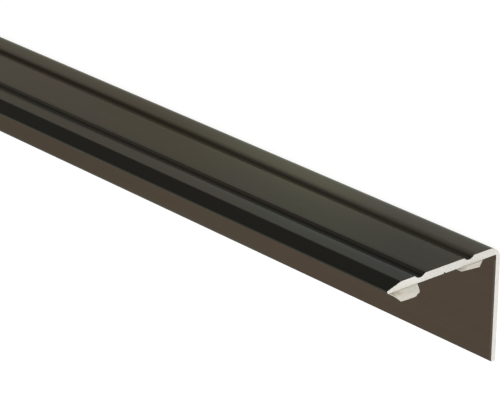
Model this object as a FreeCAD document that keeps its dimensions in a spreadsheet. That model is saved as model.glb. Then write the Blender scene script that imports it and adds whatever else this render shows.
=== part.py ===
"""A self-adhesive stair nosing: an aluminium angle extrusion with two adhesive strips.

It lies on the back of its riser flange, and the tread flange stands up from the rear edge.
X runs along the length, with the end whose strips stick out at +X. The tread's walking face
looks along +Y, and the riser flange reaches out along -Y. All sizes are in millimetres.
"""

import FreeCAD, Part
import math
import os
import Sketcher

SIZES = {
    "stock_length": (900.0, "length that the stock is sold in"),
    "tread_width": (24.5, "riser's back to the tread's nose"),
    "riser_height": (20.0, "walking face to the riser's free edge"),
    "tread_wall": (1.32, "wall of the tread flange"),
    "riser_wall": (0.9, "wall of the riser flange"),
    "heel_radius": (2.35, "rounding of the outer corner"),
    "root_radius": (0.25, "fillet of the inner corner"),
    "edge_radius": (0.08, "rounding of the nose's outer corner and of the riser's free edge"),
    "nose_radius": (0.3, "rounding of the nose's inner corner"),
    "bevel_run": (2.85, "length of the sloping front, down to the nose"),
    "nose_wall": (0.46, "wall left at the nose"),
    "bevel_blend": (1.2, "rounding between walking face and bevel"),
    "groove_radius": (1.35, "radius of the two grip grooves"),
    "groove_depth": (0.5, "depth of the grip grooves"),
    "groove_rear_lip": (0.4, "rounding of each groove's soft lip, on the heel's side"),
    "groove_front_lip": (0.08, "rounding of each groove's sharp lip, on the nose's side"),
    "groove_setback": (7.0, "riser's back to the rear groove's centre"),
    "groove_pitch": (10.6, "centre to centre of the two grooves"),
    "notch_width": (0.56, "width of the centring notch under the tread"),
    "notch_depth": (0.28, "depth of the centring notch"),
    "strip_thickness": (0.62, "thickness of an adhesive strip"),
    "strip_edge": (0.08, "rounding of a strip's outer edges"),
    "front_strip_width": (5.0, "width of the front strip"),
    "front_strip_inset": (1.3, "nose to the front strip"),
    "front_strip_overhang": (2.1, "how far the front strip sticks out of the cut end"),
    "front_strip_clip": (1.9, "length of the slanting cut at its inner corner"),
    "front_strip_clip_width": (1.3, "width of that slanting cut"),
    "front_strip_slant": (0.1, "how much the rest of its end falls back"),
    "rear_strip_width": (5.0, "width of the rear strip"),
    "rear_strip_inset": (2.9, "riser's inner face to the rear strip"),
    "rear_strip_overhang": (0.7, "how far the rear strip sticks out of the cut end"),
    "rear_strip_clip": (0.6, "length of the cut at its inner corner"),
    "rear_strip_clip_width": (1.3, "width of that cut"),
    "rear_strip_slant": (0.4, "how much the rest of its end falls back"),
}

# Tokens for the two ends of a line or an arc in a sketch, and for its centre.
START, END, CENTRE = 1, 2, 3


def make_sheet(doc):
    """The spreadsheet that holds every driving size, one alias a row."""
    sheet = doc.addObject("Spreadsheet::Sheet", "Sizes")
    for row, (alias, (value, meaning)) in enumerate(SIZES.items(), start=1):
        sheet.set(f"A{row}", alias)
        sheet.set(f"B{row}", str(value))
        sheet.set(f"C{row}", meaning)
        sheet.setAlias(f"B{row}", alias)
    doc.recompute()
    return sheet


def origin_plane(body, role):
    """One of a body's own origin planes, such as YZ_Plane."""
    return next(f for f in body.Origin.OriginFeatures if f.Role == role)


def new_sketch(body, name, role):
    """An empty sketch on one of the body's origin planes."""
    sketch = body.newObject("Sketcher::SketchObject", name)
    sketch.AttachmentSupport = [(origin_plane(body, role), "")]
    sketch.MapMode = "FlatFace"
    return sketch


class Outline:
    """A closed outline in a sketch, drawn piece by piece in the order it is walked."""

    def __init__(self, sketch):
        self.sketch = sketch
        self.walk = []

    def line(self, start, end, tangent=False):
        """A straight piece. tangent says that it leaves the last piece smoothly."""
        segment = Part.LineSegment(FreeCAD.Vector(*start), FreeCAD.Vector(*end))
        return self._add(self.sketch.addGeometry(segment, False), START, END, tangent)

    def arc(self, centre, radius, from_deg, to_deg, tangent=True):
        """An arc walked from one angle to the other, either way round."""
        low, high = sorted((math.radians(from_deg), math.radians(to_deg)))
        circle = Part.Circle(FreeCAD.Vector(*centre), FreeCAD.Vector(0, 0, 1), radius)
        index = self.sketch.addGeometry(Part.ArcOfCircle(circle, low, high), False)
        first, last = (START, END) if from_deg < to_deg else (END, START)
        return self._add(index, first, last, tangent)

    def _add(self, index, first, last, tangent):
        if self.walk:
            self._join(self.walk[-1], (index, first, last), tangent)
        self.walk.append((index, first, last))
        return index

    def _join(self, before, after, tangent):
        kind = "Tangent" if tangent else "Coincident"
        joint = Sketcher.Constraint(kind, before[0], before[2], after[0], after[1])
        self.sketch.addConstraint(joint)

    def close(self, tangent=False):
        """Joins the last piece to the first."""
        self._join(self.walk[-1], self.walk[0], tangent)

    def rule(self, kind, *where):
        """A constraint without a size, such as Vertical or Equal."""
        self.sketch.addConstraint(Sketcher.Constraint(kind, *where))

    def size(self, name, formula, kind, *where):
        """A named dimension that follows a formula of the sheet's sizes."""
        index = self.sketch.addConstraint(Sketcher.Constraint(kind, *where))
        self.sketch.renameConstraint(index, name)
        self.sketch.setExpression(f"Constraints.{name}", formula)


def lip_rise(v, lip):
    """How far along the walking face a lip's centre is from the groove's centre."""
    radius = v["groove_radius"]
    return math.sqrt((radius + lip) ** 2 - (radius - v["groove_depth"] + lip) ** 2)


def draw_groove(out, v, centre_height, is_first):
    """One grip groove in the walking face: a shallow arc between a soft and a sharp lip."""
    rear_lip, front_lip = v["groove_rear_lip"], v["groove_front_lip"]
    rear_rise, front_rise = lip_rise(v, rear_lip), lip_rise(v, front_lip)
    radius = v["groove_radius"]
    centre_out = radius - v["groove_depth"]
    rear_lean = math.degrees(math.atan2(rear_rise, centre_out + rear_lip))
    front_lean = math.degrees(math.atan2(front_rise, centre_out + front_lip))
    soft = out.arc((-rear_lip, centre_height - rear_rise), rear_lip, 0, rear_lean)
    centre = (centre_out, centre_height)
    hollow = out.arc(centre, radius, 180 + rear_lean, 180 - front_lean)
    sharp = out.arc((-front_lip, centre_height + front_rise), front_lip, -front_lean, 0)
    side = "rear" if is_first else "front"
    offset = "" if is_first else " + Sizes.groove_pitch"
    out.size(f"{side}_groove_soft_lip", "Sizes.groove_rear_lip", "Radius", soft, rear_lip)
    out.size(f"{side}_groove_sharp_lip", "Sizes.groove_front_lip", "Radius", sharp, front_lip)
    out.size(f"{side}_groove_radius", "Sizes.groove_radius", "Radius", hollow, radius)
    out.size(
        f"{side}_groove_centre",
        "Sizes.groove_radius - Sizes.groove_depth",
        *("DistanceX", -1, START, hollow, CENTRE, centre_out),
    )
    out.size(
        f"{side}_groove_height",
        "Sizes.groove_setback" + offset,
        *("DistanceY", -1, START, hollow, CENTRE, centre_height),
    )


def draw_section(sketch, v):
    """The die's section: across is the sketch's first axis and up the tread its second."""
    out = Outline(sketch)
    width, height = v["tread_width"], v["riser_height"]
    wall, riser, edge = v["tread_wall"], v["riser_wall"], v["edge_radius"]
    heel, root, nose_edge = v["heel_radius"], v["root_radius"], v["nose_radius"]

    # The riser's back, the rounded heel and the rear land of the walking face.
    back = out.line((-height + edge, 0), (-heel, 0))
    heel_arc = out.arc((-heel, heel), heel, -90, 0)
    rear_height = v["groove_setback"]
    front_height = rear_height + v["groove_pitch"]
    behind, ahead = lip_rise(v, v["groove_rear_lip"]), lip_rise(v, v["groove_front_lip"])
    rear_land = out.line((0, heel), (0, rear_height - behind), tangent=True)
    draw_groove(out, v, rear_height, is_first=True)
    land_ends = ((0, rear_height + ahead), (0, front_height - behind))
    middle_land = out.line(*land_ends, tangent=True)
    draw_groove(out, v, front_height, is_first=False)

    # The front land, blended into the bevel, and the blunt nose.
    nose_x = -(wall - v["nose_wall"])
    bevel_foot = width - v["bevel_run"]
    slope = math.atan2(-nose_x, v["bevel_run"])
    blend = v["bevel_blend"]
    trim = blend * math.tan(slope / 2)
    land_end = (0, bevel_foot - trim)
    front_land = out.line((0, front_height + ahead), land_end, tangent=True)
    blend_arc = out.arc((-blend, bevel_foot - trim), blend, 0, math.degrees(slope))
    bevel_start = (-trim * math.sin(slope), bevel_foot + trim * math.cos(slope))
    nose_turn = math.pi / 2 - slope
    nose_trim = edge * math.tan(nose_turn / 2)
    bevel_end = (
        nose_x + nose_trim * math.sin(slope),
        width - nose_trim * math.cos(slope),
    )
    bevel = out.line(bevel_start, bevel_end, tangent=True)
    nose_top = (nose_x - nose_trim, width - edge)
    nose_outer = out.arc(nose_top, edge, math.degrees(slope), 90)
    nose_ends = ((nose_x - nose_trim, width), (-wall + nose_edge, width))
    nose = out.line(*nose_ends, tangent=True)
    nose_inner = out.arc((-wall + nose_edge, width - nose_edge), nose_edge, 90, 180)

    # The tread's seat face, with its centring notch between the grooves.
    notch_height = rear_height + v["groove_pitch"] / 2
    half_notch = v["notch_width"] / 2
    seat_front_ends = ((-wall, width - nose_edge), (-wall, notch_height + half_notch))
    seat_front = out.line(*seat_front_ends, tangent=True)
    notch_tip = (-wall + v["notch_depth"], notch_height)
    notch_front = out.line((-wall, notch_height + half_notch), notch_tip)
    notch_rear = out.line(notch_tip, (-wall, notch_height - half_notch))
    seat_rear = out.line((-wall, notch_height - half_notch), (-wall, riser + root))

    # The inner corner, the riser's inner face and its free edge.
    root_arc = out.arc((-wall - root, riser + root), root, 0, -90)
    inner = out.line((-wall - root, riser), (-height + edge, riser), tangent=True)
    free_top = out.arc((-height + edge, riser - edge), edge, 90, 180)
    free = out.line((-height, riser - edge), (-height, edge), tangent=True)
    free_low = out.arc((-height + edge, edge), edge, 180, 270)
    out.close(tangent=True)

    for index in (rear_land, middle_land, front_land, seat_front, seat_rear, free):
        out.rule("Vertical", index)
    for index in (back, nose, inner):
        out.rule("Horizontal", index)
    out.rule("PointOnObject", back, START, -1)
    for index in (rear_land, middle_land, front_land):
        out.rule("PointOnObject", index, END, -2)
    out.rule("PointOnObject", seat_rear, START, seat_front)
    out.rule("Equal", notch_front, notch_rear)
    for index in (free_top, free_low):
        out.rule("Equal", nose_outer, index)

    base = (-1, START)
    out.size("heel", "Sizes.heel_radius", "Radius", heel_arc, heel)
    out.size("root", "Sizes.root_radius", "Radius", root_arc, root)
    out.size("edge", "Sizes.edge_radius", "Radius", nose_outer, edge)
    out.size("nose_edge", "Sizes.nose_radius", "Radius", nose_inner, nose_edge)
    out.size("blend", "Sizes.bevel_blend", "Radius", blend_arc, blend)
    out.size("width", "Sizes.tread_width", "DistanceY", *base, nose, START, width)
    out.size("height", "Sizes.riser_height", "DistanceX", free, END, *base, height)
    out.size("tread_wall", "Sizes.tread_wall", "DistanceX", seat_rear, END, *base, wall)
    out.size("riser_wall", "Sizes.riser_wall", "DistanceY", *base, inner, START, riser)
    out.size(
        "notch_height",
        "Sizes.groove_setback + Sizes.groove_pitch / 2",
        *("DistanceY", *base, notch_rear, START, notch_height),
    )
    out.size(
        "notch_depth",
        "Sizes.notch_depth",
        *("DistanceX", notch_rear, END, notch_rear, START, v["notch_depth"]),
    )
    out.size(
        "notch_width",
        "Sizes.notch_width",
        *("DistanceY", notch_rear, END, notch_front, START, v["notch_width"]),
    )
    tilt = "atan((Sizes.tread_wall - Sizes.nose_wall) / Sizes.bevel_run)"
    out.size("bevel_tilt", tilt, "Angle", front_land, START, bevel, START, slope)
    out.size(
        "bevel_foot",
        f"Sizes.tread_width - Sizes.bevel_run - Sizes.bevel_blend * tan({tilt} / 2)",
        *("DistanceY", *base, front_land, END, bevel_foot - trim),
    )


def build_profile(doc, v):
    """The extruded angle, as one padded section."""
    body = doc.addObject("PartDesign::Body", "NosingProfile")
    body.Label = "nosing_profile"
    sketch = new_sketch(body, "DieSection", "YZ_Plane")
    draw_section(sketch, v)
    pad = body.newObject("PartDesign::Pad", "Extrusion")
    pad.Profile = sketch
    pad.SideType = "Symmetric"
    pad.setExpression("Length", "Sizes.stock_length")
    doc.recompute()
    return body


def build_strip(doc, v, side, low_edge):
    """One adhesive strip on the seat face, its end at +X cut uneven and sticking out.

    low_edge is the formula of its rear edge's height. The cut end's inner corner, the one
    nearer the riser, is clipped off, and the rest of the end falls back a little.
    """
    parts = ("width", "overhang", "clip", "clip_width", "slant")
    size = {k: f"Sizes.{side}_strip_{k}" for k in parts}
    value = {k: v[f"{side}_strip_{k}"] for k in size}
    half = v["stock_length"] / 2
    body = doc.addObject("PartDesign::Body", f"{side.capitalize()}Strip")
    body.Label = f"{side}_adhesive_strip"
    sketch = new_sketch(body, f"{side.capitalize()}Tape", "XZ_Plane")
    out = Outline(sketch)

    top = value["width"]
    tip = half + value["overhang"]
    clip_start = (tip - value["clip"], 0)
    clip_end = (tip, value["clip_width"])
    rear_edge = out.line((-half, 0), clip_start)
    clip = out.line(clip_start, clip_end)
    end_corner = (tip - value["slant"], top)
    end = out.line(clip_end, end_corner)
    front_edge = out.line(end_corner, (-half, top))
    far_end = out.line((-half, top), (-half, 0))
    out.close()

    for index in (rear_edge, front_edge):
        out.rule("Horizontal", index)
    out.rule("Vertical", far_end)
    out.rule("PointOnObject", rear_edge, START, -1)
    out.size("far", "Sizes.stock_length / 2", "DistanceX", far_end, END, -1, START, half)
    reach = f"Sizes.stock_length / 2 + {size['overhang']}"
    out.size("reach", reach, "DistanceX", -1, START, end, START, tip)
    out.size("slant", size["slant"], "DistanceX", end, END, end, START, value["slant"])
    out.size("width", size["width"], "DistanceY", rear_edge, START, front_edge, END, top)
    out.size("clip", size["clip"], "DistanceX", clip, START, clip, END, value["clip"])
    out.size(
        "clip_width",
        size["clip_width"],
        *("DistanceY", clip, START, clip, END, value["clip_width"]),
    )
    pad = body.newObject("PartDesign::Pad", f"{side.capitalize()}Foam")
    pad.Profile = sketch
    pad.Reversed = False
    pad.setExpression("Length", "Sizes.strip_thickness")
    doc.recompute()

    # The soft outer edges are rounded all round, away from the seat face.
    outer = [
        f"Edge{n}"
        for n, edge in enumerate(pad.Shape.Edges, start=1)
        if all(abs(p.Point.y + v["strip_thickness"]) < 1e-6 for p in edge.Vertexes)
    ]
    rounding = body.newObject("PartDesign::Fillet", f"{side.capitalize()}Edge")
    rounding.Base = (pad, outer)
    rounding.setExpression("Radius", "Sizes.strip_edge")
    body.setExpression("Placement.Base.z", low_edge)
    body.setExpression("Placement.Base.y", "Sizes.riser_height / 2 - Sizes.tread_wall")
    return body


def check(doc, bodies):
    """Stops if an object failed or a body's shape is not one valid solid."""
    for thing in doc.Objects:
        if any(word in thing.State for word in ("Invalid", "Error")):
            raise RuntimeError(f"{thing.Label} failed: {thing.State}")
    for body in bodies:
        shape = body.Shape
        if shape.isNull() or not shape.isValid() or len(shape.Solids) != 1:
            raise RuntimeError(f"{body.Label} has no valid solid")


def main():
    doc = FreeCAD.newDocument("StairNosing")
    sheet = make_sheet(doc)
    v = {alias: float(sheet.get(alias)) for alias in SIZES}

    profile = build_profile(doc, v)
    profile.setExpression("Placement.Base.y", "Sizes.riser_height / 2")
    front = build_strip(
        doc,
        v,
        "front",
        "Sizes.tread_width - Sizes.front_strip_inset - Sizes.front_strip_width",
    )
    rear = build_strip(doc, v, "rear", "Sizes.riser_wall + Sizes.rear_strip_inset")
    bodies = [profile, front, rear]

    # The origin is under the middle of the whole length, overhang included.
    for body in bodies:
        longest = "max(Sizes.front_strip_overhang; Sizes.rear_strip_overhang)"
        body.setExpression("Placement.Base.x", f"-{longest} / 2")
    doc.recompute()

    check(doc, bodies)
    os.makedirs("parts", exist_ok=True)
    for body in bodies:
        body.Shape.exportStep(os.path.join("parts", f"{body.Label}.step"))
        box = body.Shape.BoundBox
        print(body.Label, round(body.Shape.Volume, 2), box)


main()
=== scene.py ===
"""The looks of a self-adhesive stair nosing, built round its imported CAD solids.

X runs along the length and the ragged strip ends are at +X. The walking face looks along +Y
and the riser flange lies on the floor. Section sizes are written in millimetres.
"""

import math

import bpy
from mathutils import Matrix, Vector, noise


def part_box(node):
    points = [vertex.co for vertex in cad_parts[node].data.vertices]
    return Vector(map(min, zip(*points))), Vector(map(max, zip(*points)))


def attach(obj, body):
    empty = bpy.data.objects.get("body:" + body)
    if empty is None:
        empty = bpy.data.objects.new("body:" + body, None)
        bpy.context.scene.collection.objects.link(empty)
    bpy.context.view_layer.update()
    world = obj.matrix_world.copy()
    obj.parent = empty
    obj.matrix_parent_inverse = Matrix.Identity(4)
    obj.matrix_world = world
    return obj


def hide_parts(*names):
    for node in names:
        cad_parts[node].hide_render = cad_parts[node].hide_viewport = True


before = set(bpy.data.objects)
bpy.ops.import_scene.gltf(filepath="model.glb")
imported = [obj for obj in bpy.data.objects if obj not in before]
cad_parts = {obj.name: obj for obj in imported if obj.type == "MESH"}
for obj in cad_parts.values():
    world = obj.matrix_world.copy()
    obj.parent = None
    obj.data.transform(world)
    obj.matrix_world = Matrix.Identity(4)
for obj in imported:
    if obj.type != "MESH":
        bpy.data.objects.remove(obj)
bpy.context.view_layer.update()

MM = 0.001

# Sizes of the section, as in the part

TREAD_WALL = 1.32
RISER_WALL = 0.9
HEEL_RADIUS = 2.35
ROOT_RADIUS = 0.25
EDGE_RADIUS = 0.08
NOSE_RADIUS = 0.3
BEVEL_RUN = 2.85
NOSE_WALL = 0.46
BEVEL_BLEND = 1.2
GROOVE_RADIUS = 1.35
GROOVE_DEPTH = 0.5
GROOVE_REAR_LIP = 0.4
GROOVE_FRONT_LIP = 0.08
GROOVE_SETBACK = 7.0
GROOVE_PITCH = 10.6
NOTCH_WIDTH = 0.56
NOTCH_DEPTH = 0.28
STRIP_THICKNESS = 0.62
LINER_THICKNESS = 0.12

profile_low, profile_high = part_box("nosing_profile")
TREAD_WIDTH = (profile_high.z - profile_low.z) / MM
RISER_HEIGHT = (profile_high.y - profile_low.y) / MM
NEAR_X = profile_high.x / MM
FAR_X = profile_low.x / MM
FACE_Y = profile_high.y / MM
SEAT_Y = FACE_Y - TREAD_WALL
FOAM_BACK = SEAT_Y - (STRIP_THICKNESS - LINER_THICKNESS)
LINER_BACK = SEAT_Y - STRIP_THICKNESS
CUT_EDGE = 0.03


# Mesh helpers

def new_piece(name, vertices, faces, face_materials, materials, smooth_deg):
    """A mesh object from points in millimetres, smooth up to the given angle."""
    mesh = bpy.data.meshes.new(name)
    mesh.from_pydata([Vector(p) * MM for p in vertices], [], faces)
    for material in materials:
        mesh.materials.append(material)
    for polygon, index in zip(mesh.polygons, face_materials):
        polygon.material_index = index
        polygon.use_smooth = True
    mesh.validate()
    mesh.update()
    mesh.set_sharp_from_angle(angle=math.radians(smooth_deg))
    piece = bpy.data.objects.new(name, mesh)
    bpy.context.scene.collection.objects.link(piece)
    return piece


def arc_points(centre, radius, from_deg, to_deg, count):
    """Points along an arc, both ends included."""
    points = []
    for k in range(count + 1):
        a = math.radians(from_deg + (to_deg - from_deg) * k / count)
        points.append((centre[0] + radius * math.cos(a), centre[1] + radius * math.sin(a)))
    return points


def interpolate(points, at):
    """The value at a place on a line through (place, value) points."""
    for (a, va), (b, vb) in zip(points, points[1:]):
        if at <= b:
            return va + (vb - va) * max(0.0, at - a) / (b - a)
    return points[-1][1]


def ease(low, high, at):
    """A smooth step from 0 at low to 1 at high."""
    share = max(0.0, min(1.0, (at - low) / (high - low)))
    return share * share * (3 - 2 * share)


# The profile

def lip_rise(lip):
    """How far along the walking face a lip's centre is from the groove's centre."""
    reach_out = GROOVE_RADIUS - GROOVE_DEPTH + lip
    return math.sqrt((GROOVE_RADIUS + lip) ** 2 - reach_out**2)


def groove_points(centre_height):
    """A grip groove from its soft rear lip to its sharp front one."""
    centre_out = GROOVE_RADIUS - GROOVE_DEPTH
    rear_rise, front_rise = lip_rise(GROOVE_REAR_LIP), lip_rise(GROOVE_FRONT_LIP)
    rear_lean = math.degrees(math.atan2(rear_rise, centre_out + GROOVE_REAR_LIP))
    front_lean = math.degrees(math.atan2(front_rise, centre_out + GROOVE_FRONT_LIP))
    rear_centre = (-GROOVE_REAR_LIP, centre_height - rear_rise)
    front_centre = (-GROOVE_FRONT_LIP, centre_height + front_rise)
    rear = arc_points(rear_centre, GROOVE_REAR_LIP, 0, rear_lean, 12)
    centre = (centre_out, centre_height)
    hollow = arc_points(centre, GROOVE_RADIUS, 180 + rear_lean, 180 - front_lean, 28)
    front = arc_points(front_centre, GROOVE_FRONT_LIP, -front_lean, 0, 6)
    return rear + hollow[1:-1] + front


def section_points():
    """The closed section, walked with the metal on the left. The heel is at the origin."""
    width, height = TREAD_WIDTH, RISER_HEIGHT
    slope = math.atan2(TREAD_WALL - NOSE_WALL, BEVEL_RUN)
    trim = BEVEL_BLEND * math.tan(slope / 2)
    foot = width - BEVEL_RUN
    nose_out = -(TREAD_WALL - NOSE_WALL)
    nose_trim = EDGE_RADIUS * math.tan((math.pi / 2 - slope) / 2)
    seat, riser, edge = -TREAD_WALL, RISER_WALL, EDGE_RADIUS
    notch_height = GROOVE_SETBACK + GROOVE_PITCH / 2

    points = [(-height + edge, 0)]
    points += arc_points((-HEEL_RADIUS, HEEL_RADIUS), HEEL_RADIUS, -90, 0, 28)
    points += groove_points(GROOVE_SETBACK)
    points += groove_points(GROOVE_SETBACK + GROOVE_PITCH)
    points += arc_points((-BEVEL_BLEND, foot - trim), BEVEL_BLEND, 0, math.degrees(slope), 8)
    nose_centre = (nose_out - nose_trim, width - edge)
    points += arc_points(nose_centre, edge, math.degrees(slope), 90, 6)
    points += arc_points((seat + NOSE_RADIUS, width - NOSE_RADIUS), NOSE_RADIUS, 90, 180, 10)
    points += [
        (seat, notch_height + NOTCH_WIDTH / 2),
        (seat + NOTCH_DEPTH, notch_height),
        (seat, notch_height - NOTCH_WIDTH / 2),
    ]
    root = ROOT_RADIUS
    points += arc_points((seat - root, riser + root), root, 0, -90, 6)
    points += arc_points((-height + edge, riser - edge), edge, 90, 180, 6)
    points += arc_points((-height + edge, edge), edge, 180, 270, 6)[:-1]
    return points


def with_support(points, gap=0.04, step=0.25):
    """Adds points along every long straight piece, so it shades flat and its tone can change."""
    out = []
    for k, here in enumerate(points):
        there = points[(k + 1) % len(points)]
        out.append(here)
        length = math.dist(here, there)
        if length > 4 * gap:
            steps = math.ceil(length / step)
            inner = [j / steps for j in range(1, steps)]
            for share in [gap / length, *inner, 1 - gap / length]:
                out.append(tuple(a + (b - a) * share for a, b in zip(here, there)))
    return out


def shrunk(points, inset):
    """The section moved in by a little all round, for the broken edge of a cut end."""
    out = []
    for k, (x, y) in enumerate(points):
        before, after = points[k - 1], points[(k + 1) % len(points)]
        dx, dy = after[0] - before[0], after[1] - before[1]
        length = math.hypot(dx, dy) or 1.0
        out.append((x - dy / length * inset, y + dx / length * inset))
    return out


# Painted shade and painted highlight across each groove: how much darker and lighter the colour
# is drawn, by the distance past the groove's centre. The far part of the length has tones of its
# own, and so has the front groove next to the cut.
GROOVE_PAINTED_SHADES = {
    "rear": [
        (-2.0, 0.0), (-1.6, 0.3), (-1.4, 0.48), (-1.2, 0.1), (-0.9, 0.06), (-0.65, 0.5),
        (-0.4, 0.75), (-0.1, 0.7), (0.1, 0.35), (0.3, 0.0),
    ],
    "front": [
        (-2.0, 0.0), (-1.6, 0.1), (-1.3, 0.1), (-1.1, 0.0), (-0.9, 0.1), (-0.7, 0.25),
        (-0.45, 0.2), (-0.2, 0.45), (0.1, 0.5), (0.6, 0.5), (0.9, 0.2), (1.05, 0.0),
    ],
    "cut_front": [
        (-2.0, 0.0), (-1.5, 0.15), (-1.15, 0.33), (-0.8, 0.5), (-0.5, 0.55), (-0.2, 0.6),
        (0.1, 0.5), (0.6, 0.4), (0.9, 0.0),
    ],
    "far_rear": [
        (-2.0, 0.0), (-1.6, 0.3), (-1.4, 0.45), (-1.2, 0.4), (-0.9, 0.35), (-0.65, 0.5),
        (-0.4, 0.6), (-0.2, 0.45), (0.1, 0.1), (0.3, 0.0),
    ],
    "far_front": [
        (-2.0, 0.0), (-1.6, 0.1), (-1.3, 0.15), (-1.1, 0.0), (-0.9, 0.0), (-0.7, 0.12),
        (-0.45, 0.12), (-0.2, 0.5), (0.1, 0.6), (0.9, 0.5), (1.15, 0.4), (1.45, 0.22),
        (1.7, 0.0),
    ],
}
GROOVE_PAINTED_HIGHLIGHTS = {
    "rear": [(-1.2, 0.0), (-1.05, 0.6), (-0.85, 0.4), (-0.65, 0.0)],
    "front": [
        (-1.3, 0.0), (-1.0, 0.2), (-0.85, 0.1), (-0.65, 0.0), (0.9, 0.0), (1.05, 0.45),
        (1.5, 0.35), (2.4, 0.15), (4.0, 0.1), (4.1, 0.0),
    ],
    "cut_front": [
        (0.8, 0.0), (1.05, 0.5), (1.5, 0.3), (2.4, 0.1), (4.0, 0.05), (4.1, 0.0),
    ],
    "far_rear": [(0.0, 0.0)],
    "far_front": [(-1.3, 0.0), (-1.0, 0.4), (-0.85, 0.3), (-0.65, 0.0)],
}
# Painted shade on the nose end and on the riser flange's far part, painted highlight on the riser
# flange, and a painted reflection on the heel.
NOSE_END_PAINTED_SHADE = 0.6
RISER_PAINTED_SHADE = 0.2
RISER_PAINTED_HIGHLIGHT = 0.9
HEEL_PAINTED_HIGHLIGHT = 0.38
GROOVE_BOTTOM = -GROOVE_DEPTH * 1.05

# How far behind the near end the section is drawn again, so that its tones can change there.
TONE_REACHES = (0.3, 0.6, 50.0, 70.0, 85.0, 100.0, 120.0)


def nearness(x, far_reach, near_reach):
    """From 0 to 1 between two distances behind the near end."""
    return ease(NEAR_X - far_reach, NEAR_X - near_reach, x)


def groove_tone(tones, x, height, least):
    """A tone across both grooves at a place along the length, and at least the given one."""
    past_rear = height - GROOVE_SETBACK
    past_front = past_rear - GROOVE_PITCH
    front = interpolate(tones["front"], past_front)
    cut_front = interpolate(tones["cut_front"], past_front)
    front += (cut_front - front) * nearness(x, 50, 0)
    near = max(least, interpolate(tones["rear"], past_rear), front)
    far_rear = interpolate(tones["far_rear"], past_rear)
    far = max(least, far_rear, interpolate(tones["far_front"], past_front))
    return far + (near - far) * nearness(x, 90, 35)


def painted_shade_at(x, out, height):
    """How much painted shade darkens the anodised colour at a point, from 0 to 1."""
    if out < NOSE_WALL - TREAD_WALL and height > TREAD_WIDTH - NOSE_RADIUS:
        return NOSE_END_PAINTED_SHADE
    if out < -TREAD_WALL - ROOT_RADIUS:
        return RISER_PAINTED_SHADE * (1 - nearness(x, 120, 50))
    if out < GROOVE_BOTTOM:
        return 0.0
    return groove_tone(GROOVE_PAINTED_SHADES, x, height, 0.0)


def painted_highlight_at(x, out, height):
    """How much painted highlight lightens the anodised colour at a point, from 0 to 1.

    It is a painted reflection on the heel, painted highlights by the grooves' lips, and a painted
    highlight on the riser flange next to its free edge and next to the near cut.
    """
    if out < -HEEL_RADIUS:
        at_edge = 1 - ease(0.1, 0.4, out + RISER_HEIGHT)
        at_edge *= 1 - nearness(x, 85, 50)
        at_cut = 1 - ease(0.0, 0.6, NEAR_X - x)
        return RISER_PAINTED_HIGHLIGHT * max(at_edge, at_cut)
    if out < GROOVE_BOTTOM:
        return 0.0
    heel = HEEL_PAINTED_HIGHLIGHT * (1 - ease(0.8, 5.0, height))
    return groove_tone(GROOVE_PAINTED_HIGHLIGHTS, x, height, heel)


def build_profile(anodised, sawn):
    """The extrusion: long anodised faces, and sawn ends with a slightly broken edge."""
    outline = with_support(section_points())
    inner = shrunk(outline, CUT_EDGE)
    stations = [
        (NEAR_X, inner),
        (NEAR_X - CUT_EDGE, outline),
        *[(NEAR_X - reach, outline) for reach in TONE_REACHES],
        (FAR_X + 1.0, outline),
        (FAR_X + CUT_EDGE, outline),
        (FAR_X, inner),
    ]
    count = len(outline)
    vertices = [(x, FACE_Y + u, v) for x, ring in stations for u, v in ring]
    faces, slots = [], []
    for s in range(len(stations) - 1):
        for k in range(count):
            j = (k + 1) % count
            a, b = s * count, (s + 1) * count
            faces.append((a + k, b + k, b + j, a + j))
            slots.append(1 if s in (0, len(stations) - 2) else 0)
    faces.append(tuple(range(count)))
    slots.append(1)
    last = (len(stations) - 1) * count
    faces.append(tuple(last + k for k in reversed(range(count))))
    slots.append(1)
    piece = new_piece("nosing", vertices, faces, slots, [anodised, sawn], smooth_deg=30)
    # Per-point painted shade and painted highlight, which the anodised material reads.
    for name, tone_at in (("painted_shade", painted_shade_at), ("painted_highlight", painted_highlight_at)):
        tones = piece.data.attributes.new(name, "FLOAT", "POINT")
        tones.data.foreach_set("value", [tone_at(x, y - FACE_Y, z) for x, y, z in vertices])
    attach(piece, "root")
    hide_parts("nosing_profile")


# The adhesive strips

# Where each strip's near end lies past the cut and how thick it still is, both by height. droop
# bends its end away from the tread, swell and flare widen it, and lean slants its rear side.
STRIP_SHAPES = {
    "front": {
        "end": [(18.2, 0.0), (19.5, 1.97), (20.2, 2.1), (22.0, 2.05), (23.2, 1.97)],
        "thin": [(18.2, 0.6), (19.5, 0.45), (20.05, 0.45), (20.2, 0.8), (20.5, 1.0)],
        "droop": 0.045,
        "swell": 0.14,
        "flare": 0.09,
        "lean": 0.0,
    },
    "rear": {
        "end": [(3.8, -0.1), (4.3, 0.2), (5.1, 0.7), (6.9, 0.45), (8.8, 0.14)],
        "thin": [(3.8, 1.0), (8.8, 1.0)],
        "droop": 0.05,
        "swell": 0.0,
        "flare": 0.0,
        "lean": 0.3,
    },
}
FOAM_ROUGHNESS = 0.03
LINER_ROUGHNESS = 0.01

# How a band is divided: across, through, along its length and along its last few millimetres.
ACROSS, LAYERS, ALONG, ALONG_END = 32, 4, 220, 48
END_LENGTH = 6.0

# The noise that tears a band's end and waves its edges
TEAR_RATE, TEAR_SIZE, WAVE_RATE = 2.3, 2.2, 0.35


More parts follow.
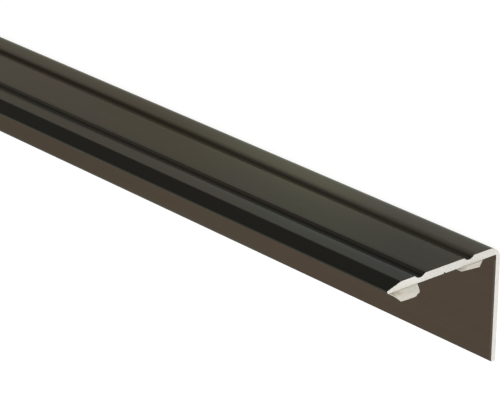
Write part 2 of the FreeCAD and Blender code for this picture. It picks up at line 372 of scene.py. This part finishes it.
def build_band(name, node, shape, near_y, far_y, rough, materials):
    """A long soft band on the seat face, between two depths, with a ragged near end.

    shape says where the band lies and how its near end looks. rough is how uneven its long
    edges and its torn end are.
    """
    end_start = NEAR_X - END_LENGTH
    stations = [FAR_X + (end_start - FAR_X) * k / ALONG for k in range(ALONG)]
    low_z, high_z = shape["low"], shape["high"]
    vertices, index = [], {}

    def place(i, j, k):
        share = j / ACROSS
        height = low_z + (high_z - low_z) * share
        if i < ALONG:
            x = stations[i]
        else:
            reach = NEAR_X + interpolate(shape["end"], height)
            tear = noise.noise(Vector((height * TEAR_RATE, k * 0.5, len(name))))
            reach += tear * rough * TEAR_SIZE
            along = (i - ALONG) / ALONG_END
            x = end_start + (min(reach, shape["tip"]) - end_start) * along
        past = max(0.0, x - NEAR_X)
        thin = 1 - (1 - interpolate(shape["thin"], height)) * ease(0.6, 1.5, past)
        deep = SEAT_Y - near_y + (near_y - far_y) * k / LAYERS
        wave = noise.noise(Vector((x * WAVE_RATE, share * 3, k + len(name)))) * rough
        if j in (0, ACROSS):
            side = -1 if j == 0 else 1
            pinch = 0.5 if k in (0, LAYERS) else 0.0
            height -= side * (rough * pinch + abs(wave))
        swell = shape["swell"] * ease(end_start, NEAR_X, x)
        height += (swell + shape["flare"] * past) * share
        height += shape["lean"] * (deep / STRIP_THICKNESS) * (1 - share)
        return (x, SEAT_Y - deep * thin - shape["droop"] * past**2, height)

    def vertex(i, j, k):
        if (i, j, k) not in index:
            index[i, j, k] = len(vertices)
            vertices.append(place(i, j, k))
        return index[i, j, k]

    faces, slots = [], []

    def quad(corners, slot):
        faces.append(tuple(vertex(*corner) for corner in corners))
        slots.append(slot)

    total = ALONG + ALONG_END
    for i in range(total):
        for j in range(ACROSS):
            ring = [(i, j), (i, j + 1), (i + 1, j + 1), (i + 1, j)]
            quad([(a, b, 0) for a, b in ring], 1)
            ring = [(i, j), (i + 1, j), (i + 1, j + 1), (i, j + 1)]
            quad([(a, b, LAYERS) for a, b in ring], 0)
        for k in range(LAYERS):
            ring = [(i, k), (i + 1, k), (i + 1, k + 1), (i, k + 1)]
            quad([(a, 0, c) for a, c in ring], 0)
            ring = [(i, k), (i, k + 1), (i + 1, k + 1), (i + 1, k)]
            quad([(a, ACROSS, c) for a, c in ring], 0)
    for end, step in ((0, -1), (total, 1)):
        for j in range(ACROSS):
            for k in range(LAYERS):
                ring = [(j, k), (j + 1, k), (j + 1, k + 1), (j, k + 1)]
                quad([(end, b, c) for b, c in ring[::step]], 0)
    piece = new_piece(name, vertices, faces, slots, materials, smooth_deg=50)
    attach(piece, "root")
    if node:
        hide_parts(node)


# Materials

def node_tree(name):
    """A new material, its node tree and its shader."""
    material = bpy.data.materials.new(name)
    material.use_nodes = True
    tree = material.node_tree
    shader = tree.nodes["Principled BSDF"]
    return material, tree, shader


def add_node(tree, kind, values=(), **properties):
    """A node with properties set and values put on its input sockets."""
    node = tree.nodes.new(kind)
    for key, value in properties.items():
        setattr(node, key, value)
    for socket, value in dict(values).items():
        node.inputs[socket].default_value = value
    return node


def stretched_noise(tree, stretch, scale, detail):
    """Noise in object space, in millimetres, drawn out along each axis by a factor."""
    place = add_node(tree, "ShaderNodeTexCoord")
    mapping = add_node(tree, "ShaderNodeMapping")
    mapping.inputs["Scale"].default_value = [scale / MM / s for s in stretch]
    values = {"Scale": 1.0, "Detail": detail, "Roughness": 0.6}
    texture = add_node(tree, "ShaderNodeTexNoise", values)
    tree.links.new(place.outputs["Object"], mapping.inputs["Vector"])
    tree.links.new(mapping.outputs["Vector"], texture.inputs["Vector"])
    return texture.outputs["Fac"]


# The middle range of a noise value, which most of it lies in
NOISE_LOW, NOISE_HIGH = 0.3, 0.7


def ramp(tree, source, stops):
    """A colour ramp on a value, from (place, colour) stops."""
    node = add_node(tree, "ShaderNodeValToRGB")
    elements = node.color_ramp.elements
    while len(elements) < len(stops):
        elements.new(0.5)
    for element, (place, colour) in zip(elements, stops):
        element.position = place
        element.color = (*colour, 1.0)
    tree.links.new(source, node.inputs["Fac"])
    return node.outputs["Color"]


def two_tone(tree, source, dark, light):
    """A colour ramp over a noise value's middle range."""
    return ramp(tree, source, [(NOISE_LOW, dark), (NOISE_HIGH, light)])


def span(tree, source, low, high):
    """Maps a noise value's middle range to low and high."""
    node = add_node(tree, "ShaderNodeMapRange")
    node.inputs["From Min"].default_value = NOISE_LOW
    node.inputs["From Max"].default_value = NOISE_HIGH
    node.inputs["To Min"].default_value = low
    node.inputs["To Max"].default_value = high
    tree.links.new(source, node.inputs["Value"])
    return node.outputs["Result"]


def bump(tree, shader, source, distance, strength):
    """Bumps the shader's normal by a height value, over a distance in millimetres."""
    node = add_node(tree, "ShaderNodeBump")
    node.inputs["Strength"].default_value = strength
    node.inputs["Distance"].default_value = distance * MM
    tree.links.new(source, node.inputs["Height"])
    tree.links.new(node.outputs["Normal"], shader.inputs["Normal"])


def object_axis(tree, axis, low, high):
    """A smooth 0 to 1 along an object axis, between two places in millimetres."""
    place = add_node(tree, "ShaderNodeTexCoord")
    split = add_node(tree, "ShaderNodeSeparateXYZ")
    tree.links.new(place.outputs["Object"], split.inputs[0])
    step = add_node(tree, "ShaderNodeMapRange", interpolation_type="SMOOTHSTEP")
    step.inputs["From Min"].default_value = low * MM
    step.inputs["From Max"].default_value = high * MM
    tree.links.new(split.outputs[axis], step.inputs["Value"])
    return step.outputs["Result"]


def blend(tree, factor, first, second):
    """A colour between two, each a colour socket or a plain colour."""
    mix = add_node(tree, "ShaderNodeMix", data_type="RGBA")
    tree.links.new(factor, mix.inputs["Factor"])
    for socket, colour in ((mix.inputs["A"], first), (mix.inputs["B"], second)):
        if isinstance(colour, tuple):
            socket.default_value = (*colour, 1.0)
        else:
            tree.links.new(colour, socket)
    return mix.outputs["Result"]


# The heights between the grooves where the rear half's tones give way to the front half's
MIDDLE = (12, 13)


def bronze_material():
    """Dark bronze anodised aluminium with faint die lines. Painted reflection tints make it a
    little cooler towards the nose and greener on the tread near the near end.
    """
    material, tree, shader = node_tree("bronze_anodised")
    shader.inputs["Metallic"].default_value = 1.0
    streaks = stretched_noise(tree, (60.0, 1.0, 1.0), 0.9, 4.0)
    brown = two_tone(tree, streaks, (0.076, 0.053, 0.041), (0.081, 0.059, 0.044))
    olive = two_tone(tree, streaks, (0.074, 0.058, 0.038), (0.078, 0.064, 0.042))
    clouds = stretched_noise(tree, (3.0, 1.0, 1.0), 0.13, 2.0)
    warm = blend(tree, span(tree, clouds, 0.0, 0.5), brown, olive)
    green = blend(tree, span(tree, clouds, 0.7, 1.0), brown, olive)
    # Painted reflection tints: the tread greener near the near end, the front land and slope
    # cooler.
    tread = blend(tree, object_axis(tree, "X", NEAR_X - 95, NEAR_X - 72), warm, green)
    main = blend(tree, object_axis(tree, "Z", 1.0, 3.0), warm, tread)
    land = two_tone(tree, streaks, (0.073, 0.059, 0.044), (0.078, 0.062, 0.047))
    slope = two_tone(tree, streaks, (0.065, 0.058, 0.044), (0.070, 0.061, 0.047))
    front = blend(tree, object_axis(tree, "Z", 21.4, 22.2), land, slope)
    plain = blend(tree, object_axis(tree, "Z", 15.0, 16.6), main, front)
    # Painted shade darkens the colour and the edge tint; painted highlight lightens the colour.
    painted_shade = add_node(tree, "ShaderNodeAttribute", attribute_name="painted_shade")
    painted_highlight = add_node(tree, "ShaderNodeAttribute", attribute_name="painted_highlight")
    highlighted = blend(tree, painted_highlight.outputs["Fac"], plain, (0.118, 0.119, 0.104))
    # The painted shade's colours, warmer by the rear groove and cooler by the front one.
    between = object_axis(tree, "Z", *MIDDLE)
    dark = blend(tree, between, (0.040, 0.037, 0.026), (0.034, 0.038, 0.034))
    base = blend(tree, painted_shade.outputs["Fac"], highlighted, dark)
    tree.links.new(base, shader.inputs["Base Color"])
    tint = blend(tree, painted_shade.outputs["Fac"], (0.70, 0.73, 0.665), (0.40, 0.40, 0.40))
    tree.links.new(tint, shader.inputs["Specular Tint"])
    lines = stretched_noise(tree, (400.0, 1.0, 1.0), 9.0, 2.0)
    tree.links.new(span(tree, lines, 0.28, 0.34), shader.inputs["Roughness"])
    bump(tree, shader, lines, 0.004, 0.5)
    return material


def sawn_material():
    """Bare aluminium with fine saw marks across it, with painted light: lighter towards the nose
    and on the flange's cut end.
    """
    material, tree, shader = node_tree("sawn_aluminium")
    shader.inputs["Metallic"].default_value = 0.1
    marks = stretched_noise(tree, (1.0, 6.0, 1.0), 6.0, 3.0)
    plain = two_tone(tree, marks, (0.82, 0.79, 0.74), (0.90, 0.88, 0.84))
    painted_lit_tread = two_tone(tree, marks, (0.94, 0.92, 0.87), (0.99, 0.97, 0.93))
    painted_lit_flange = two_tone(tree, marks, (0.89, 0.86, 0.82), (0.95, 0.92, 0.89))
    # Painted light: lighter towards the nose and on the flange's cut end.
    tread = blend(tree, object_axis(tree, "Z", 15, 20), plain, painted_lit_tread)
    tone = blend(tree, object_axis(tree, "Z", 1.7, 0.7), tread, painted_lit_flange)
    tree.links.new(tone, shader.inputs["Base Color"])
    tree.links.new(span(tree, marks, 0.4, 0.5), shader.inputs["Roughness"])
    bump(tree, shader, marks, 0.02, 0.5)
    return material


def foam_material():
    """Off-white foam tape with a fine closed-cell grain, with painted shade on the front strip but
    for its free end, and on the rear strip towards the nose.
    """
    material, tree, shader = node_tree("tape_foam")
    cells = stretched_noise(tree, (1.0, 1.0, 1.0), 9.0, 3.0)
    unshaded_tone = two_tone(tree, cells, (0.74, 0.70, 0.62), (0.84, 0.80, 0.73))
    painted_shade_tone = two_tone(tree, cells, (0.40, 0.37, 0.29), (0.50, 0.47, 0.38))
    # Painted shade on the front strip under the tread, but for its free end.
    free = object_axis(tree, "X", NEAR_X + 0.1, NEAR_X + 1.5)
    front = blend(tree, free, painted_shade_tone, unshaded_tone)
    is_front = object_axis(tree, "Z", *MIDDLE)
    rear = two_tone(tree, cells, (0.66, 0.61, 0.54), (0.75, 0.70, 0.63))
    # Painted shade on the rear strip towards its side nearer the nose.
    rear_shaded = blend(tree, object_axis(tree, "Z", 7.2, 8.8), rear, (0.47, 0.44, 0.37))
    tree.links.new(blend(tree, is_front, rear_shaded, front), shader.inputs["Base Color"])
    shader.inputs["Roughness"].default_value = 0.75
    bump(tree, shader, cells, 0.03, 0.6)
    return material


def glue_material():
    """The pale adhesive on the strip's upper face, with painted shadow close under the cut end and
    under the nose, and lighter and warmer at its tip.
    """
    material, tree, shader = node_tree("tape_glue")
    blotches = stretched_noise(tree, (1.0, 1.0, 1.0), 1.6, 3.0)
    cool = two_tone(tree, blotches, (0.68, 0.67, 0.59), (0.78, 0.77, 0.70))
    warm = two_tone(tree, blotches, (0.76, 0.70, 0.61), (0.86, 0.80, 0.72))
    pale = blend(tree, object_axis(tree, "Z", 20.8, 22.4), cool, warm)
    # Painted contact shadow right under the cut end.
    free = object_axis(tree, "X", NEAR_X - 0.1, NEAR_X + 0.5)
    # Painted shadow of the nose on the strip, fading past the cut.
    nose_free = object_axis(tree, "X", NEAR_X + 0.6, NEAR_X + 1.7)
    at_nose = object_axis(tree, "Z", 21.6, 23.0)
    nose_shadow_tone = blend(tree, nose_free, (0.56, 0.50, 0.41), pale)
    at_tip = object_axis(tree, "X", NEAR_X + 1.5, NEAR_X + 2.1)
    tone = blend(tree, at_tip, blend(tree, at_nose, pale, nose_shadow_tone), (0.84, 0.78, 0.70))
    tree.links.new(blend(tree, free, (0.50, 0.47, 0.40), tone), shader.inputs["Base Color"])
    shader.inputs["Roughness"].default_value = 0.6
    bump(tree, shader, blotches, 0.04, 0.4)
    return material


def liner_material():
    """Pale siliconised paper."""
    material, tree, shader = node_tree("release_liner")
    fibres = stretched_noise(tree, (3.0, 1.0, 1.0), 3.0, 4.0)
    tone = two_tone(tree, fibres, (0.76, 0.73, 0.65), (0.84, 0.81, 0.74))
    tree.links.new(tone, shader.inputs["Base Color"])
    shader.inputs["Roughness"].default_value = 0.42
    bump(tree, shader, fibres, 0.01, 0.4)
    return material


# Building the pieces

anodised, sawn = bronze_material(), sawn_material()
foam, glue, liner = foam_material(), glue_material(), liner_material()
build_profile(anodised, sawn)

for side, shape in STRIP_SHAPES.items():
    node = f"{side}_adhesive_strip"
    low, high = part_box(node)
    shape["low"], shape["high"], shape["tip"] = low.z / MM, high.z / MM, high.x / MM
    build_band(f"{side}_tape", node, shape, SEAT_Y, FOAM_BACK, FOAM_ROUGHNESS, [foam, glue])
    build_band(f"{side}_liner", None, shape, FOAM_BACK, LINER_BACK, LINER_ROUGHNESS, [liner, liner])


# Studio

LAMP_SIZE = 0.9
LAMPS = {
    "key": {"where": (1.6, 0.9, 1.3), "power": 15.0},
    "fill": {"where": (0.2, -1.4, 1.2), "power": 5.0},
}

# The floor card lies just over the floor, on the walking face's side, in millimetres.
CARD_HALF_LENGTH = 900
CARD_FRONT_Y = 36
CARD_HEIGHT = 0.3

# The photograph's camera: its place from the upper corner of the cut end, in millimetres, its
# axes, and its focal length in pixels of a picture 500 pixels wide.
CAMERA_PLACE = (268.243, 169.160, 287.035)
CAMERA_RIGHT = (0.655278, 0.010063, -0.755325)
CAMERA_DOWN = (0.295213, -0.923796, 0.243810)
CAMERA_FORWARD = (-0.695315, -0.382743, -0.608318)
FOCAL_PIXELS = 2716.77
PICTURE_WIDTH = 500.0
SENSOR_WIDTH = 36.0


def light_path_mask(tree, with_glossy):
    """1 for camera and clear rays, and for mirror rays too if asked, and 0 for all others."""
    path = add_node(tree, "ShaderNodeLightPath")
    mask = add_node(tree, "ShaderNodeMath", operation="MAXIMUM")
    tree.links.new(path.outputs["Is Camera Ray"], mask.inputs[0])
    tree.links.new(path.outputs["Is Transmission Ray"], mask.inputs[1])
    if not with_glossy:
        return mask.outputs[0]
    both = add_node(tree, "ShaderNodeMath", operation="MAXIMUM")
    tree.links.new(mask.outputs[0], both.inputs[0])
    tree.links.new(path.outputs["Is Glossy Ray"], both.inputs[1])
    return both.outputs[0]


def mix_shaders(tree, mask, plain, white):
    """The plain shader where the mask is 0 and the white one where it is 1."""
    mix = add_node(tree, "ShaderNodeMixShader")
    tree.links.new(mask, mix.inputs["Fac"])
    tree.links.new(plain, mix.inputs[1])
    tree.links.new(white, mix.inputs[2])
    return mix.outputs[0]


def direction_ramp(tree, direction, stops):
    """A colour from how far a ray leans towards a direction, from -1 to 1."""
    place = add_node(tree, "ShaderNodeTexCoord")
    lean = add_node(tree, "ShaderNodeVectorMath", operation="DOT_PRODUCT")
    lean.inputs[1].default_value = direction
    tree.links.new(place.outputs["Generated"], lean.inputs[0])
    half = add_node(tree, "ShaderNodeMath", operation="MULTIPLY_ADD")
    half.inputs[1].default_value = 0.5
    half.inputs[2].default_value = 0.5
    tree.links.new(lean.outputs["Value"], half.inputs[0])
    return ramp(tree, half.outputs[0], [((at + 1) / 2, colour) for at, colour in stops])


def build_world():
    """Soft light all round. Mirror rays see a white studio with a dark side behind the camera."""
    world = bpy.data.worlds.new("studio")
    bpy.context.scene.world = world
    world.use_nodes = True
    tree = world.node_tree
    plain = tree.nodes["Background"]
    plain.inputs["Color"].default_value = (1.0, 0.99, 0.97, 1.0)
    plain.inputs["Strength"].default_value = 0.5
    white = add_node(tree, "ShaderNodeBackground", {"Strength": 1.0})
    white.inputs["Color"].default_value = (1.0, 1.0, 1.0, 1.0)
    studio = add_node(tree, "ShaderNodeBackground", {"Strength": 1.0})
    white_side, half_lit, dark_side = (1.0, 1.0, 1.0), (0.38, 0.39, 0.36), (0.12, 0.13, 0.155)
    low_stops = [
        (-0.06, white_side), (0.1, dark_side), (0.4, dark_side),
        (0.55, (0.2, 0.2, 0.19)), (0.72, (0.42, 0.42, 0.39)),
    ]
    below = direction_ramp(tree, (0.0, 0.707, 0.707), low_stops)
    high_stops = [(-0.6, dark_side), (-0.22, half_lit), (0.2, white_side)]
    above = direction_ramp(tree, (0.0, -0.866, 0.5), high_stops)
    brighter = add_node(tree, "ShaderNodeMix", data_type="RGBA", blend_type="LIGHTEN")
    brighter.inputs["Factor"].default_value = 1.0
    tree.links.new(below, brighter.inputs["A"])
    tree.links.new(above, brighter.inputs["B"])
    tree.links.new(brighter.outputs["Result"], studio.inputs["Color"])
    path = add_node(tree, "ShaderNodeLightPath")
    mirrored = mix_shaders(
        tree, path.outputs["Is Glossy Ray"], plain.outputs[0], studio.outputs[0]
    )
    mixed = mix_shaders(tree, light_path_mask(tree, False), mirrored, white.outputs[0])
    tree.links.new(mixed, tree.nodes["World Output"].inputs["Surface"])


def build_floor():
    """A matt floor that looks white to the camera and isn't seen in mirror-like surfaces."""
    bpy.ops.mesh.primitive_plane_add(size=60.0, location=(0, 0, 0))
    floor = bpy.context.object
    floor.name = "floor"
    material = bpy.data.materials.new("floor")
    material.use_nodes = True
    tree = material.node_tree
    tree.nodes.remove(tree.nodes["Principled BSDF"])
    diffuse = add_node(tree, "ShaderNodeBsdfDiffuse")
    diffuse.inputs["Color"].default_value = (0.8, 0.8, 0.79, 1.0)
    glow = add_node(tree, "ShaderNodeEmission", {"Strength": 0.85})
    faint = add_node(tree, "ShaderNodeBsdfDiffuse")
    faint.inputs["Color"].default_value = (0.3, 0.3, 0.3, 1.0)
    white = add_node(tree, "ShaderNodeAddShader")
    tree.links.new(glow.outputs[0], white.inputs[0])
    tree.links.new(faint.outputs[0], white.inputs[1])
    mixed = mix_shaders(tree, light_path_mask(tree, True), diffuse.outputs[0], white.outputs[0])
    tree.links.new(mixed, tree.nodes["Material Output"].inputs["Surface"])
    floor.data.materials.append(material)
    floor.visible_glossy = False


def build_floor_card():
    """A card over the floor that only mirror-like surfaces see."""
    low_x, high_x = -CARD_HALF_LENGTH, CARD_HALF_LENGTH
    flat = [(low_x, FACE_Y), (high_x, FACE_Y), (high_x, CARD_FRONT_Y), (low_x, CARD_FRONT_Y)]
    corners = [(x, y, CARD_HEIGHT) for x, y in flat]
    mesh = bpy.data.meshes.new("floor_card")
    mesh.from_pydata([Vector(c) * MM for c in corners], [], [(0, 1, 2, 3)])
    card = bpy.data.objects.new("floor_card", mesh)
    bpy.context.scene.collection.objects.link(card)
    material = bpy.data.materials.new("floor_card")
    material.use_nodes = True
    tree = material.node_tree
    tree.nodes.remove(tree.nodes["Principled BSDF"])
    glow = add_node(tree, "ShaderNodeEmission", {"Strength": 1.0})
    paint_floor_card(tree, glow.inputs["Color"])
    tree.links.new(glow.outputs[0], tree.nodes["Material Output"].inputs["Surface"])
    mesh.materials.append(material)
    card.visible_camera = False
    card.visible_diffuse = False
    card.visible_shadow = False
    card.visible_transmission = False


def paint_floor_card(tree, socket):
    """Pale grey, and from white to blue-grey away from the walking face at the near end.

    It darkens again next to the cut end.
    """
    place = add_node(tree, "ShaderNodeTexCoord")
    split = add_node(tree, "ShaderNodeSeparateXYZ")
    tree.links.new(place.outputs["Object"], split.inputs[0])
    across = add_node(tree, "ShaderNodeMapRange")
    across.inputs["From Min"].default_value = FACE_Y * MM
    across.inputs["From Max"].default_value = (FACE_Y + 20) * MM
    tree.links.new(split.outputs["Y"], across.inputs["Value"])
    near_stops = [
        (0.0, (0.98, 1.0, 1.0)), (0.18, (0.96, 1.0, 1.0)),
        (0.34, (0.68, 0.73, 0.77)), (0.7, (0.58, 0.63, 0.70)),
    ]
    far_stops = [
        (0.0, (0.92, 0.90, 0.87)), (0.12, (0.64, 0.61, 0.60)),
        (0.35, (0.71, 0.67, 0.69)), (0.7, (0.64, 0.62, 0.66)),
    ]
    end_stops = [
        (0.0, (0.90, 0.92, 1.0)), (0.16, (0.71, 0.74, 0.85)),
        (0.34, (0.57, 0.60, 0.72)), (0.7, (0.53, 0.58, 0.70)),
    ]
    near = ramp(tree, across.outputs["Result"], near_stops)
    far = ramp(tree, across.outputs["Result"], far_stops)
    end = ramp(tree, across.outputs["Result"], end_stops)
    along = object_axis(tree, "X", NEAR_X - 85, NEAR_X - 45)
    at_end = object_axis(tree, "X", NEAR_X - 42, NEAR_X - 20)
    tree.links.new(blend(tree, at_end, blend(tree, along, far, near), end), socket)


def build_lamp(name, where, aim_at, power):
    """A round area lamp that lights matt surfaces and shows in no mirror-like one."""
    data = bpy.data.lights.new(name, "AREA")
    data.shape = "DISK"
    data.size = LAMP_SIZE
    data.energy = power
    lamp = bpy.data.objects.new(name, data)
    bpy.context.scene.collection.objects.link(lamp)
    lamp.location = where
    aim = Vector(aim_at) - Vector(where)
    lamp.rotation_mode = "QUATERNION"
    lamp.rotation_quaternion = aim.to_track_quat("-Z", "Y")
    lamp.visible_glossy = False


def build_camera():
    """The photograph's view: a long lens, rolled, from above the walking face's side."""
    data = bpy.data.cameras.new("camera")
    data.sensor_fit = "HORIZONTAL"
    data.sensor_width = SENSOR_WIDTH
    data.lens = SENSOR_WIDTH * FOCAL_PIXELS / PICTURE_WIDTH
    data.clip_start, data.clip_end = 0.01, 100.0
    right, down, forward = Vector(CAMERA_RIGHT), Vector(CAMERA_DOWN), Vector(CAMERA_FORWARD)
    camera = bpy.data.objects.new("camera", data)
    bpy.context.scene.collection.objects.link(camera)
    turn = Matrix((right, -down, -forward)).transposed().to_4x4()
    along, out, up = CAMERA_PLACE
    where = Vector((NEAR_X + along, FACE_Y + out, up)) * MM
    camera.matrix_world = Matrix.Translation(where) @ turn
    bpy.context.scene.camera = camera


build_world()
build_floor()
build_floor_card()
for name, lamp in LAMPS.items():
    build_lamp(name, lamp["where"], (NEAR_X * MM, 0.0, 0.0), lamp["power"])
build_camera()

scene = bpy.context.scene
scene.view_settings.view_transform = "Standard"
